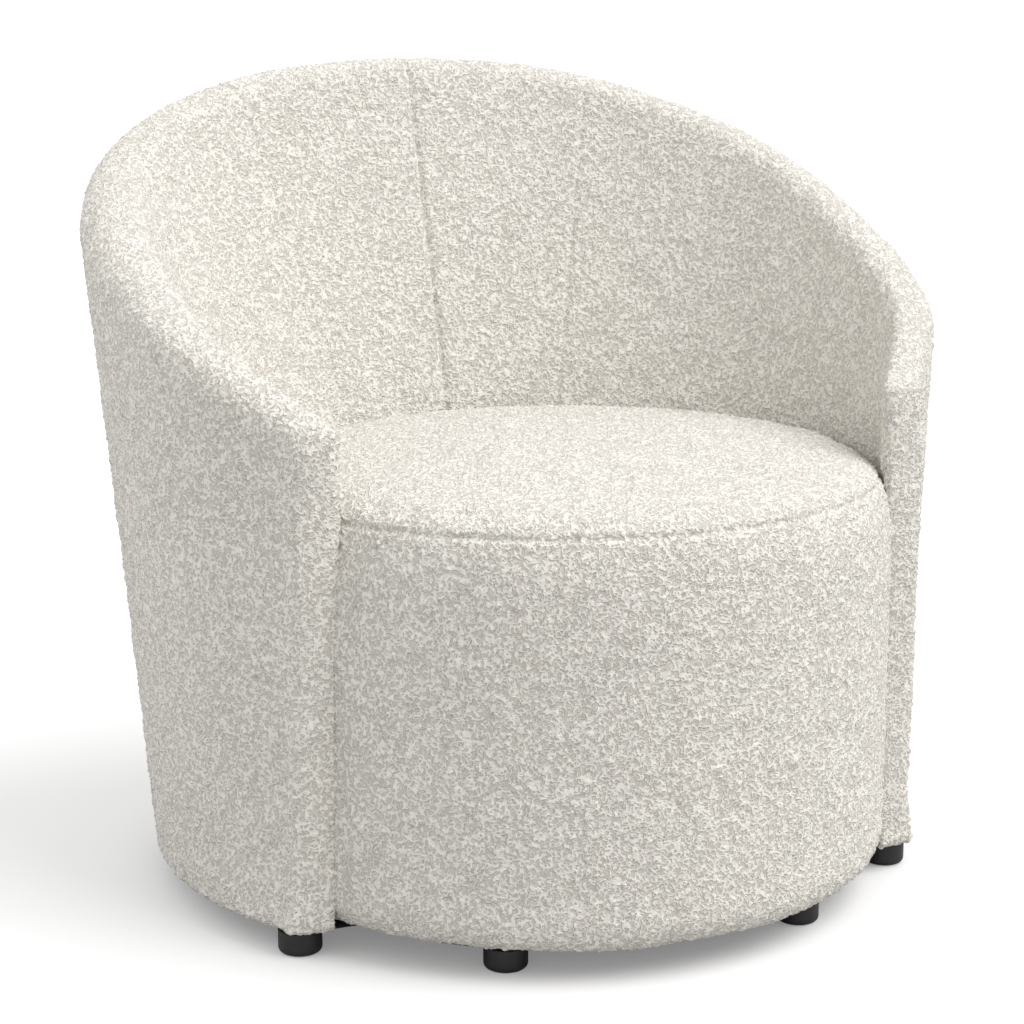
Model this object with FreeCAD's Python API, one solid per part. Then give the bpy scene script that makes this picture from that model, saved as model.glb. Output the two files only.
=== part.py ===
import FreeCAD, Part
import math
import os

# Upholstered tub chair. Millimetres, +Z up, the chair faces -Y, and the origin is on the
# floor in the middle of the chair's width and depth. Each sub-part is one STEP file in parts/.
#
# The chair is two upholstered units. The seat drum is a full upright drum on its own round
# board. The tub is a tapering wall that wraps round the back and sides of the drum and
# forward into two arms. The tub's wall is described by turns: turn 0 is the middle of the
# back, +1 the end of the right arm and -1 the end of the left arm. At each turn the outer
# face is one straight line from the hem to the rim, and everything in the wall is placed
# by its inset from that line, measured level and inwards.

# Feet
FOOT_DIAMETER = 39.0
FOOT_EDGE_RADIUS = 5.0
FOOT_BORE = 8.4
ARM_FOOT_TURN = 0.975
ARM_FOOT_INSET = 30.0
BACK_FOOT_TURN = 0.252
BACK_FOOT_INSET = 58.5
FRONT_FOOT_ANGLE = 146.4
FRONT_FOOT_INSET = 41.1
STUD_DIAMETER = 8.0
STUD_SEAT = 8.0
TEE_NUT_BARREL = 11.0
TEE_NUT_FLANGE = 16.0
TEE_NUT_FLANGE_THICKNESS = 1.5
STUD_BELOW_BOARD_TOP = 2.0

# Levels above the floor
HEM_LEVEL = 22.0
BOARD_LEVEL = 25.0
BOARD_THICKNESS = 15.0
SEAT_RAIL_LEVEL = 318.0
SEAT_SEAM_LEVEL = 387.0
ARM_LEVEL = 504.0

# Seat drum: plan of the finished cover, an ellipse that stands in from the hem's plan
# by the side wall
SIDE_WALL = 64.0
DRUM_HALF_DEPTH = 286.0
DRUM_MIDDLE_Y = -85.8
DRUM_HEM_RADIUS = 28.0
DRUM_TOP_TUCK = 7.0
DRUM_TOP_ROLL = 77.0
DRUM_PAD = 8.0
SEAT_CROWN = 31.0
SEAT_CROWN_RADIUS = 2200.0
SEAT_EDGE_RADIUS = 34.0
HOOP_WIDTH = 50.0
HOOP_THICKNESS = 18.0
POST_SIDE = 34.0
POST_COUNT = 6
WEBBING_WIDTH = 50.0
WEBBING_THICKNESS = 1.5
WEBBING_PITCH = 95.0
WEBBING_COUNT = 5

# Tub wall: plan of the outer face at the hem and at arm level, as half ellipses whose
# corners are a little square, and how far round the plan the arms reach
HEM_PLAN = {"width": 366.0, "depth": 346.0, "middle_y": -18.8, "fore": 2.04, "aft": 2.04}
ARM_PLAN = {"width": 398.0, "depth": 332.0, "middle_y": 26.2, "fore": 2.40, "aft": 2.25}
HEM_REACH = 121.0
ARM_REACH = 132.0
INWARD_REACH = 83.0
INWARD_POWER = 0.9
RIM_LEVELS = (749.0, 733.0, 681.0, 615.0, 553.0, 474.0)
ARM_WALL = 47.5
BACK_RIM_WALL = 60.0
BACK_ROLL_OUTER = 32.0
BACK_ROLL_INNER = 27.0
ARM_ROLL_OUTER = 13.0
ARM_ROLL_INNER = 9.0
ROLL_FADE = 0.35
HEM_FOLD_RADIUS = 8.0
HEM_FOLD = 22.0
BACK_SEAM_TURN = 0.23
TUCK_LEVEL = 360.0
BACK_PAD = 18.0
ARM_PAD = 12.0
RIM_PAD = 10.0
TACK_DROP = 12.0
TACK_STRIP_HEIGHT = 14.0
TACK_STRIP_THICKNESS = 2.0
WADDING = 4.0
FACING_BOARD = 6.0
FACING_PAD = 5.4
FACING_EDGE_RADIUS = 5.0
RIB_THICKNESS = 18.0
RIB_TURNS = {"centre": 0.0, "shoulder": 0.27, "side": 0.55, "arm": 0.78}
ARM_POST_TURN = 0.955
TOP_RAIL_HEIGHT = 32.0
BLOCK_WIDTH = 60.0

# Materials' thicknesses and clearances
COVER = 3.0
LINING = 3.0
GAP = 0.3
FRAME_SLACK = 0.7
DRUM_TO_TUB = 1.0
FRAME_TO_DRUM = 2.0
DUST_COVER = 1.0
CORE_EDGE = 1.0

# Bolts that hold the drum to the tub, between the wall's ribs
BOLT_DIAMETER = 8.0
BOLT_HOLE = 8.6
BOLT_HEAD_DIAMETER = 16.0
BOLT_HEAD_HEIGHT = 4.0
BOLT_LENGTH = 112.0
CROSS_DOWEL_DIAMETER = 12.0
CROSS_DOWEL_END = 9.0
BOLT_HEAD_ROOM = 1.0
BOLT_END_ROOM = 6.0

FOOT_HEIGHT = HEM_LEVEL - DUST_COVER
BOARD_TOP = BOARD_LEVEL + BOARD_THICKNESS
DRUM_HALF_WIDTH = HEM_PLAN["width"] - SIDE_WALL
FRAME_INSET = COVER + WADDING + LINING + 3 * GAP
RAIL_DEPTH = COVER + RIM_PAD + 2 * GAP
HOOP_OUTER_INSET = COVER + DRUM_PAD + LINING + 3 * GAP
BOARD_INSET = DRUM_HEM_RADIUS + GAP
TURN_STEP = 0.1
TURN_PAST_MIDDLE = 0.2
ROOM = 1000.0
UP = FreeCAD.Vector(0, 0, 1)
ORIGIN = FreeCAD.Vector(0, 0, 0)


def save(shape, name):
    """Write one sub-part, as its clean solids only."""
    solids = shape.Solids
    result = solids[0] if len(solids) == 1 else Part.makeCompound(solids)
    result.exportStep("parts/" + name + ".step")


def save_pair(right_shape, name):
    """Write the right-hand piece and its mirror image."""
    save(right_shape, name + "_right")
    save(mirrored(right_shape), name + "_left")


def mirrored(shape):
    return shape.mirror(ORIGIN, FreeCAD.Vector(1, 0, 0))


def rounded_wire(corners, radii):
    """A closed wire through the corners, each rounded by its own radius."""
    starts = []
    arcs = []
    ends = []
    count = len(corners)
    for index, corner in enumerate(corners):
        before = (corners[index - 1] - corner).normalize()
        after = (corners[(index + 1) % count] - corner).normalize()
        radius = radii[index]
        if radius <= 0:
            starts.append(corner)
            arcs.append(None)
            ends.append(corner)
            continue
        half_angle = before.getAngle(after) / 2
        bisector = (before + after).normalize()
        run = radius / math.tan(half_angle)
        start = corner + before * run
        end = corner + after * run
        middle = corner + bisector * (radius / math.sin(half_angle) - radius)
        starts.append(start)
        ends.append(end)
        arcs.append(Part.Arc(start, middle, end).toShape())
    edges = []
    for index in range(count):
        if arcs[index] is not None:
            edges.append(arcs[index])
        following = starts[(index + 1) % count]
        edges.append(Part.makeLine(ends[index], following))
    return Part.Wire(edges)


def blend_between(values, position):
    """A smooth value between evenly spaced ones, for a position from 0 to 1."""
    steps = len(values) - 1
    place = min(max(position, 0.0), 1.0) * steps
    index = min(int(place), steps - 1)
    part = place - index
    before = values[abs(index - 1)]
    here = values[index]
    there = values[index + 1]
    beyond = values[index + 2] if index + 2 <= steps else 2 * there - here
    slope_here = (there - before) / 2
    slope_there = (beyond - here) / 2
    curve = 2 * here - 2 * there + slope_here + slope_there
    bend = 3 * there - 3 * here - 2 * slope_here - slope_there
    return ((curve * part + bend) * part + slope_here) * part + here


# The tub's wall

def plan_point(plan, angle, level):
    """The point of a plan at an angle from the middle of the back."""
    across = math.sin(angle)
    along = math.cos(angle)
    power = plan["aft"] if along >= 0 else plan["fore"]
    reach = (abs(across) ** power + abs(along) ** power) ** (-1 / power)
    x = plan["width"] * across * reach
    y = plan["middle_y"] + plan["depth"] * along * reach
    return FreeCAD.Vector(x, y, level)


def outer_point(turn, level):
    """The point of the wall's outer face at a turn and a level."""
    hem = plan_point(HEM_PLAN, math.radians(HEM_REACH * turn), HEM_LEVEL)
    arm = plan_point(ARM_PLAN, math.radians(ARM_REACH * turn), ARM_LEVEL)
    share = (level - HEM_LEVEL) / (ARM_LEVEL - HEM_LEVEL)
    return hem + (arm - hem) * share


def inward(turn):
    """The level direction that insets are measured along."""
    quarter = math.radians(90) * abs(turn) ** INWARD_POWER
    angle = math.radians(INWARD_REACH) * math.sin(quarter)
    return FreeCAD.Vector(-math.copysign(math.sin(angle), turn), -math.cos(angle), 0)


def wall_point(turn, inset, level):
    return outer_point(turn, level) + inward(turn) * inset


def rim_level(turn):
    return blend_between(RIM_LEVELS, abs(turn))


def roundness(turn):
    """1 where the rim is a full roll, fading to 0 at the squared arm ends."""
    return min(1.0, (1 - abs(turn)) / ROLL_FADE)


def roll_radii(turn):
    share = roundness(turn)
    outer = ARM_ROLL_OUTER + (BACK_ROLL_OUTER - ARM_ROLL_OUTER) * share
    inner = ARM_ROLL_INNER + (BACK_ROLL_INNER - ARM_ROLL_INNER) * share
    return outer, inner


def reach_to_drum(turn, level):
    """How far the drum's plan lies from the wall's outer face, along the inset."""
    start = outer_point(turn, level) - FreeCAD.Vector(0, DRUM_MIDDLE_Y, 0)
    step = inward(turn)
    px, py = start.x / DRUM_HALF_WIDTH, start.y / DRUM_HALF_DEPTH
    sx, sy = step.x / DRUM_HALF_WIDTH, step.y / DRUM_HALF_DEPTH
    square = sx ** 2 + sy ** 2
    half = px * sx + py * sy
    rest = px ** 2 + py ** 2 - 1
    return (-half - math.sqrt(half ** 2 - square * rest)) / square


def wall_thickness(turn, level):
    """At the seat the wall meets the drum, and from there it thins to the rim."""
    at_rim = ARM_WALL + (BACK_RIM_WALL - ARM_WALL) * roundness(turn)
    at_seat = max(ARM_WALL, reach_to_drum(turn, SEAT_SEAM_LEVEL))
    share = (level - SEAT_SEAM_LEVEL) / (rim_level(turn) - SEAT_SEAM_LEVEL)
    return at_seat + (at_rim - at_seat) * share


def pad_thickness(turn):
    return ARM_PAD + (BACK_PAD - ARM_PAD) * roundness(turn)


def tack_level(turn):
    """Where the inside cover is tacked off on the outside, under the roll."""
    return rim_level(turn) - roll_radii(turn)[0] - TACK_DROP


def loft_wall(section):
    """A solid through section's wires, from just past the middle to the arm's end."""
    steps = round(1 / TURN_STEP)
    first = -round(TURN_PAST_MIDDLE * steps)
    wires = [section(step / steps) for step in range(first, steps + 1)]
    return Part.makeLoft(wires, True, False)


def right_half(shape):
    room = Part.makeBox(ROOM, 2 * ROOM, ROOM, FreeCAD.Vector(0, -ROOM, 0))
    return shape.common(room)


def section_slab(turn, start, thickness, reach):
    """A flat block along the wall's section plane at a turn."""
    across = inward(turn)
    base = outer_point(turn, HEM_LEVEL)
    rise = (outer_point(turn, ARM_LEVEL) - base).normalize()
    normal = rise.cross(across).normalize()
    low = base - rise * ROOM / 4 - across * ROOM / 8 + normal * start
    corners = [low, low + across * reach]
    corners += [corners[1] + rise * 2 * ROOM, low + rise * 2 * ROOM]
    face = Part.Face(rounded_wire(corners, (0, 0, 0, 0)))
    return face.extrude(normal * thickness)


def past_turn(turn):
    """All the space in front of the wall's section plane at a turn."""
    return section_slab(turn, 0.0, 2 * ROOM, 2 * ROOM)


def drum_prism(clearance, low, high):
    """The drum's plan grown by a clearance, as a plain upright solid."""
    half_depth = DRUM_HALF_DEPTH + clearance
    half_width = half_depth * DRUM_HALF_WIDTH / DRUM_HALF_DEPTH
    ellipse = Part.Ellipse(ORIGIN, half_width, half_depth)
    face = Part.Face(Part.Wire([ellipse.toShape()]))
    prism = face.extrude(FreeCAD.Vector(0, 0, high - low))
    prism.translate(FreeCAD.Vector(0, DRUM_MIDDLE_Y, low))
    return prism


def scribed_to_drum(shape, clearance):
    """Trim a piece of the tub so that it fits round the drum below the seat."""
    return shape.cut(drum_prism(clearance, 0.0, SEAT_SEAM_LEVEL + GAP))


def strip_section(inset, thickness, low, high):
    """A section function for a flat strip in the wall between two levels."""
    def section(turn):
        bottom = low(turn) if callable(low) else low
        top = high(turn) if callable(high) else high
        near = inset(turn) if callable(inset) else inset
        corners = [
            wall_point(turn, near, bottom),
            wall_point(turn, near, top),
            wall_point(turn, near + thickness, top),
            wall_point(turn, near + thickness, bottom),
        ]
        return rounded_wire(corners, (0, 0, 0, 0))
    return section


def over_rim_side(turn, back_inset, front_inset, drop):
    """One face of a layer that rolls over the rim, from the outside to the inside."""
    top = rim_level(turn) - drop
    return [
        wall_point(turn, back_inset, tack_level(turn)),
        wall_point(turn, back_inset, top),
        wall_point(turn, wall_thickness(turn, top) - front_inset, top),
        wall_point(turn, wall_thickness(turn, TUCK_LEVEL) - front_inset, TUCK_LEVEL),
    ]


def over_rim_layer(depth, over_rim, inside):
    """A layer that rises inside the wall, rolls over the rim and ends outside.

    depth is how far it lies under the finished cover, over_rim its thickness over the
    rim, and inside gives its thickness on the inside face at a turn.
    """
    def section(turn):
        outer_radius, inner_radius = roll_radii(turn)
        under = depth + over_rim
        skin = over_rim_side(turn, depth, depth, depth)
        back = over_rim_side(turn, under, depth + inside(turn), under)
        back.reverse()
        radii = (0, outer_radius - depth, inner_radius - depth, 0)
        back_outer = max(CORE_EDGE, outer_radius - under)
        back_inner = max(CORE_EDGE, inner_radius - depth - inside(turn))
        return rounded_wire(skin + back, radii + (0, back_inner, back_outer, 0))
    layer = right_half(loft_wall(section))
    return scribed_to_drum(layer, DRUM_TO_TUB)


def save_back_and_arm(layer, back_name, arm_name):
    """Part a layer at the seam between the inside back and the inside arm."""
    arm_side = past_turn(BACK_SEAM_TURN)
    save_pair(layer.cut(arm_side), back_name)
    save_pair(layer.common(arm_side), arm_name)


def inside_covers():
    """Inside back and inside arm covers, rolled over the rim to the tack line."""
    layer = over_rim_layer(0.0, COVER, lambda turn: COVER)
    save_back_and_arm(layer, "inside_back_cover", "inside_arm_cover")


def inside_pads():
    """Foam behind the inside covers, wrapped over the top rail."""
    layer = over_rim_layer(COVER + GAP, RIM_PAD, pad_thickness)
    save_back_and_arm(layer, "back_foam", "arm_foam")


def outside_cover_section(turn):
    """From a fold under the hem up to the tack line."""
    top = tack_level(turn) - GAP
    corners = [
        wall_point(turn, HEM_FOLD, HEM_LEVEL),
        wall_point(turn, 0.0, HEM_LEVEL),
        wall_point(turn, 0.0, top),
        wall_point(turn, COVER, top),
        wall_point(turn, COVER, HEM_LEVEL + COVER),
        wall_point(turn, HEM_FOLD, HEM_LEVEL + COVER),
    ]
    inner_radius = HEM_FOLD_RADIUS - COVER
    return rounded_wire(corners, (0, HEM_FOLD_RADIUS, 0, 0, inner_radius, 0))


def outside_layers():
    """Outside covers, the wadding behind them, the lining board and the tack strip."""
    save_pair(right_half(loft_wall(outside_cover_section)), "outside_cover")

    def strip_top(turn):
        return tack_level(turn) - GAP

    def strip_bottom(turn):
        return strip_top(turn) - TACK_STRIP_HEIGHT

    def wadding_top(turn):
        return strip_bottom(turn) - GAP

    inset = COVER + GAP
    strip = strip_section(inset, TACK_STRIP_THICKNESS, strip_bottom, strip_top)
    save_pair(right_half(loft_wall(strip)), "tack_strip")
    wadding = strip_section(inset, WADDING, BOARD_LEVEL + HEM_FOLD_RADIUS, wadding_top)
    save_pair(right_half(loft_wall(wadding)), "outside_wadding")
    lining = strip_section(inset + WADDING + GAP, LINING, BOARD_TOP, strip_top)
    save_pair(right_half(loft_wall(lining)), "outside_lining")


def frame_depth(turn, level):
    """How far in the frame may reach: up to the back of the inner lining board."""
    skin = COVER + GAP + pad_thickness(turn) + GAP + LINING + FRAME_SLACK
    return wall_thickness(turn, level) - skin


def inner_lining():
    """Board bent round the front of the ribs, which carries the foam."""
    def section(turn):
        top = rail_bottom(turn) + TOP_RAIL_HEIGHT / 2
        high = frame_depth(turn, top) + FRAME_SLACK
        low = frame_depth(turn, TUCK_LEVEL) + FRAME_SLACK
        corners = [
            wall_point(turn, high, top),
            wall_point(turn, low, TUCK_LEVEL),
            wall_point(turn, low + LINING, TUCK_LEVEL),
            wall_point(turn, high + LINING, top),
        ]
        return rounded_wire(corners, (0, 0, 0, 0))
    board = right_half(loft_wall(section))
    save_pair(scribed_to_drum(board, FRAME_TO_DRUM), "inner_lining")


def rail_bottom(turn):
    return rim_level(turn) - RAIL_DEPTH - TOP_RAIL_HEIGHT


def top_rail():
    """Sloping laminated rail inside the roll, in two halves that meet at the back."""
    def section(turn):
        bottom = rail_bottom(turn)
        top = bottom + TOP_RAIL_HEIGHT
        outer_radius = max(CORE_EDGE, roll_radii(turn)[0] - RAIL_DEPTH)
        corners = [
            wall_point(turn, RAIL_DEPTH, bottom),
            wall_point(turn, RAIL_DEPTH, top),
            wall_point(turn, frame_depth(turn, top), top),
            wall_point(turn, frame_depth(turn, bottom), bottom),
        ]
        return rounded_wire(corners, (0, outer_radius, CORE_EDGE, 0))
    save_pair(right_half(loft_wall(section)), "top_rail")


def frame_core():
    """The room inside the wall, from the tub's board up to the top rail."""
    def section(turn):
        top = rail_bottom(turn) - GAP
        at_seat = frame_depth(turn, SEAT_SEAM_LEVEL)
        corners = [
            wall_point(turn, FRAME_INSET, BOARD_TOP),
            wall_point(turn, FRAME_INSET, top),
            wall_point(turn, frame_depth(turn, top), top),
            wall_point(turn, at_seat, SEAT_SEAM_LEVEL),
            wall_point(turn, at_seat, BOARD_TOP),
        ]
        return rounded_wire(corners, (0, 0, 0, 0, 0))
    return scribed_to_drum(loft_wall(section), FRAME_TO_DRUM)


def rib_slab(turn, thickness):
    return section_slab(turn, -thickness / 2, thickness, ROOM / 2)


def ribs(core):
    """Upright boards across the wall, from the tub's board to the top rail."""
    save(core.common(rib_slab(RIB_TURNS["centre"], RIB_THICKNESS)), "back_rib_centre")
    for name in ("shoulder", "side", "arm"):
        rib = core.common(rib_slab(RIB_TURNS[name], RIB_THICKNESS))
        save_pair(rib, name + "_rib")
    save_pair(core.common(rib_slab(ARM_POST_TURN, RIB_THICKNESS)), "arm_post")


def wall_plate(level, thickness, inset):
    """A flat plate of the wall's whole plan, closed straight across the front."""
    points = []
    steps = round(1 / TURN_STEP)
    for step in range(-steps, steps + 1):
        point = wall_point(step / steps, inset, HEM_LEVEL)
        points.append(FreeCAD.Vector(point.x, point.y, level))
    edge = Part.BSplineCurve()
    edge.interpolate(points)
    closing = Part.makeLine(points[-1], points[0])
    face = Part.Face(Part.Wire([edge.toShape(), closing]))
    return face.extrude(UP * thickness)


def tub_board():
    """U-shaped board under the tub, which the ribs and outer feet are fixed to."""
    plate = wall_plate(BOARD_LEVEL, BOARD_THICKNESS, HEM_FOLD_RADIUS)
    plate = scribed_to_drum(plate, FRAME_TO_DRUM)
    for x, y in foot_places():
        plate = plate.cut(tee_nut_room(x, y))
    save(plate, "tub_board")


def seat_rail_blocks(core):
    """Blocks between the ribs at seat rail height, which the drum is bolted to."""
    top = SEAT_RAIL_LEVEL + HOOP_THICKNESS
    ring = drum_prism(FRAME_TO_DRUM + BLOCK_WIDTH, SEAT_RAIL_LEVEL, top)
    blocks = right_half(core).common(ring).cut(past_turn(ARM_POST_TURN))
    for turn in list(RIB_TURNS.values()) + [ARM_POST_TURN]:
        blocks = blocks.cut(rib_slab(turn, RIB_THICKNESS + 2 * GAP))
    for angle in bolt_angles():
        blocks = blocks.cut(bolt_hole(angle)).cut(cross_dowel_hole(angle))
    both = blocks.Solids + mirrored(blocks).Solids
    save(Part.makeCompound(both), "seat_rail_blocks")


# Arm facings

def facing_outline(inset, low):
    """The arm end's outline, set in from the finished cover by an inset."""
    rim = rim_level(1.0)
    outer_radius, inner_radius = roll_radii(1.0)
    corners = [
        wall_point(1.0, inset, low),
        wall_point(1.0, inset, rim - inset),
        wall_point(1.0, wall_thickness(1.0, rim) - inset, rim - inset),
        wall_point(1.0, wall_thickness(1.0, SEAT_SEAM_LEVEL) - inset, low),
    ]
    outer_radius = max(CORE_EDGE, outer_radius - inset)
    inner_radius = max(CORE_EDGE, inner_radius - inset)
    radii = (0, outer_radius, inner_radius, 0)
    return rounded_wire(corners, radii)


def facing_normal():
    """The direction that the right arm's end faces."""
    face = Part.Face(facing_outline(0.0, HEM_LEVEL))
    normal = face.normalAt(0, 0)
    if normal.y > 0:
        normal = normal * -1
    return normal


def facing_slab(inset, low, start, thickness):
    face = Part.Face(facing_outline(inset, low))
    slab = face.extrude(facing_normal() * thickness)
    slab.translate(facing_normal() * start)
    return slab


def arm_facings():
    """Board, pad and cover that close each arm's end."""
    skin_start = FACING_BOARD + FACING_PAD
    inset = COVER + GAP
    board = facing_slab(inset, BOARD_LEVEL, 0.0, FACING_BOARD)
    pad = facing_slab(inset, BOARD_LEVEL, FACING_BOARD, FACING_PAD)
    outside = facing_slab(0.0, HEM_LEVEL, 0.0, skin_start + COVER)
    front = outside.Faces[0]
    for face in outside.Faces:
        if face.CenterOfMass.dot(facing_normal()) > front.CenterOfMass.dot(facing_normal()):
            front = face
    outside = outside.makeFillet(FACING_EDGE_RADIUS, front.Edges)
    hollow = facing_slab(COVER, BOARD_LEVEL, 0.0, skin_start)
    cover = outside.cut(hollow)
    save_pair(scribed_to_drum(board, DRUM_TO_TUB + COVER), "arm_facing_board")
    save_pair(scribed_to_drum(pad, DRUM_TO_TUB + COVER), "arm_facing_pad")
    save_pair(scribed_to_drum(cover, DRUM_TO_TUB), "arm_facing_cover")


# Seat drum

def drum_solid(wire):
    """Turn a profile in the XZ plane into a ring, then widen it to the drum's ellipse."""
    ring = Part.Face(wire).revolve(ORIGIN, UP, 360)
    stretch = FreeCAD.Matrix()
    stretch.A11 = DRUM_HALF_WIDTH / DRUM_HALF_DEPTH
    ring = ring.transformGeometry(stretch)
    ring.translate(FreeCAD.Vector(0, DRUM_MIDDLE_Y, 0))
    return ring


def drum_point(inset, level):
    return FreeCAD.Vector(DRUM_HALF_DEPTH - inset, 0, level)


def drum_side_edges(inset, top_level):
    """The drum's side from under the hem to the seat seam, at an inset."""
    fold = drum_point(DRUM_HEM_RADIUS, HEM_LEVEL + inset)
    rise = drum_point(inset, HEM_LEVEL + DRUM_HEM_RADIUS)
    bend = DRUM_HEM_RADIUS - (DRUM_HEM_RADIUS - inset) * math.sqrt(0.5)
    middle = drum_point(bend, HEM_LEVEL + bend)
    shoulder = drum_point(inset, top_level - DRUM_TOP_ROLL)
    lean = drum_point(inset + DRUM_TOP_TUCK / 4, top_level - DRUM_TOP_ROLL / 2)
    seam = drum_point(inset + DRUM_TOP_TUCK, top_level)
    return fold, seam, [
        Part.Arc(fold, middle, rise).toShape(),
        Part.makeLine(rise, shoulder),
        Part.Arc(shoulder, lean, seam).toShape(),
    ]


def drum_layer(inset, thickness, top_level):
    """A layer of the drum's side between two insets."""
    outer_fold, outer_seam, outer_edges = drum_side_edges(inset, top_level)
    inner_fold, inner_seam, inner_edges = drum_side_edges(inset + thickness, top_level)
    edges = outer_edges + [Part.makeLine(outer_seam, inner_seam)]
    edges += list(reversed(inner_edges)) + [Part.makeLine(inner_fold, outer_fold)]
    return drum_solid(Part.Wire(Part.__sortEdges__(edges)))


def drum_ring(outer_inset, inner_inset, low, high):
    """A flat ring of the drum's plan."""
    return drum_prism(-outer_inset, low, high).cut(drum_prism(-inner_inset, low, high))


def crown_edges(inset):
    """The seat's crown from its middle to the seam: a shallow arc and an edge arc."""
    big = SEAT_CROWN_RADIUS - inset
    small = SEAT_EDGE_RADIUS - inset
    top = SEAT_SEAM_LEVEL + SEAT_CROWN
    big_middle = FreeCAD.Vector(0, 0, top - SEAT_CROWN_RADIUS)
    end = drum_point(DRUM_TOP_TUCK + inset, SEAT_SEAM_LEVEL)
    reach = SEAT_CROWN_RADIUS - SEAT_EDGE_RADIUS
    rise = end - big_middle
    distance = rise.Length
    along = (distance ** 2 + reach ** 2 - small ** 2) / (2 * distance)
    across = math.sqrt(reach ** 2 - along ** 2)
    unit = rise * (1 / distance)
    side = FreeCAD.Vector(-unit.z, 0, unit.x)
    small_middle = big_middle + unit * along + side * across
    spoke = (small_middle - big_middle).normalize()
    join = big_middle + spoke * big
    crest = FreeCAD.Vector(0, 0, top - inset)
    half = (spoke + UP).normalize()
    big_arc = Part.Arc(crest, big_middle + half * big, join).toShape()
    out = (end - small_middle).normalize()
    half = (spoke + out).normalize()
    small_arc = Part.Arc(join, small_middle + half * small, end).toShape()
    return crest, end, [big_arc, small_arc]


def drum_covers():
    """The drum's band, its pad, and the crowned seat cover sewn to the band."""
    cover = drum_layer(0.0, COVER, SEAT_SEAM_LEVEL)
    pad = drum_layer(COVER + GAP, DRUM_PAD, SEAT_SEAM_LEVEL - GAP)
    lining_inset = COVER + GAP + DRUM_PAD + GAP
    low = HEM_LEVEL + DRUM_HEM_RADIUS
    lining = drum_ring(lining_inset, lining_inset + LINING, low, SEAT_RAIL_LEVEL)
    for angle in bolt_angles():
        cover = cover.cut(bolt_hole(angle))
        pad = pad.cut(bolt_hole(angle))
    save(cover, "drum_band_cover")
    save(pad, "drum_pad")
    save(lining, "drum_lining")


def seat_cushion():
    """The foam block with its crown, and the cover over it."""
    crest, seam, outer_edges = crown_edges(0.0)
    inner_crest, inner_seam, inner_edges = crown_edges(COVER)
    edges = outer_edges + [Part.makeLine(seam, inner_seam)]
    edges += inner_edges + [Part.makeLine(inner_crest, crest)]
    save(drum_solid(Part.Wire(Part.__sortEdges__(edges))), "seat_cover")

    crest, seam, edges = crown_edges(COVER + GAP)
    side = COVER + GAP + DRUM_PAD + GAP + DRUM_TOP_TUCK
    low = webbing_top() + GAP
    ledge = drum_point(side, SEAT_SEAM_LEVEL)
    heel = drum_point(side, low)
    middle = FreeCAD.Vector(0, 0, low)
    edges.append(Part.makeLine(seam, ledge))
    edges.append(Part.makeLine(ledge, heel))
    edges.append(Part.makeLine(heel, middle))
    edges.append(Part.makeLine(middle, crest))
    save(drum_solid(Part.Wire(Part.__sortEdges__(edges))), "seat_foam")


def webbing_top():
    return SEAT_RAIL_LEVEL + HOOP_THICKNESS + 2 * WEBBING_THICKNESS


def drum_frame():
    """Board, two hoops and the posts between them."""
    board = drum_prism(-BOARD_INSET, BOARD_LEVEL, BOARD_TOP)
    for x, y in foot_places():
        board = board.cut(tee_nut_room(x, y))
    save(board, "drum_board")
    inner_inset = HOOP_OUTER_INSET + HOOP_WIDTH
    lower_top = BOARD_TOP + HOOP_THICKNESS
    lower = drum_ring(HOOP_OUTER_INSET, inner_inset, BOARD_TOP, lower_top)
    upper_top = SEAT_RAIL_LEVEL + HOOP_THICKNESS
    upper = drum_ring(HOOP_OUTER_INSET, inner_inset, SEAT_RAIL_LEVEL, upper_top)
    for angle in bolt_angles():
        upper = upper.cut(bolt_hole(angle))
    save(lower, "drum_lower_hoop")
    save(upper, "drum_upper_hoop")
    inset = HOOP_OUTER_INSET + HOOP_WIDTH / 2
    posts = []
    for index in range(POST_COUNT):
        angle = 360.0 * (index + 0.5) / POST_COUNT
        x = (DRUM_HALF_WIDTH - inset) * math.cos(math.radians(angle))
        y = (DRUM_HALF_DEPTH - inset) * math.sin(math.radians(angle))
        post = Part.makeBox(POST_SIDE, POST_SIDE, SEAT_RAIL_LEVEL - lower_top)
        post.translate(FreeCAD.Vector(-POST_SIDE / 2, -POST_SIDE / 2, 0))
        post.rotate(ORIGIN, UP, angle)
        post.translate(FreeCAD.Vector(x, y + DRUM_MIDDLE_Y, lower_top))
        posts.append(post)
    save(Part.makeCompound(posts), "drum_posts")


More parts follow.
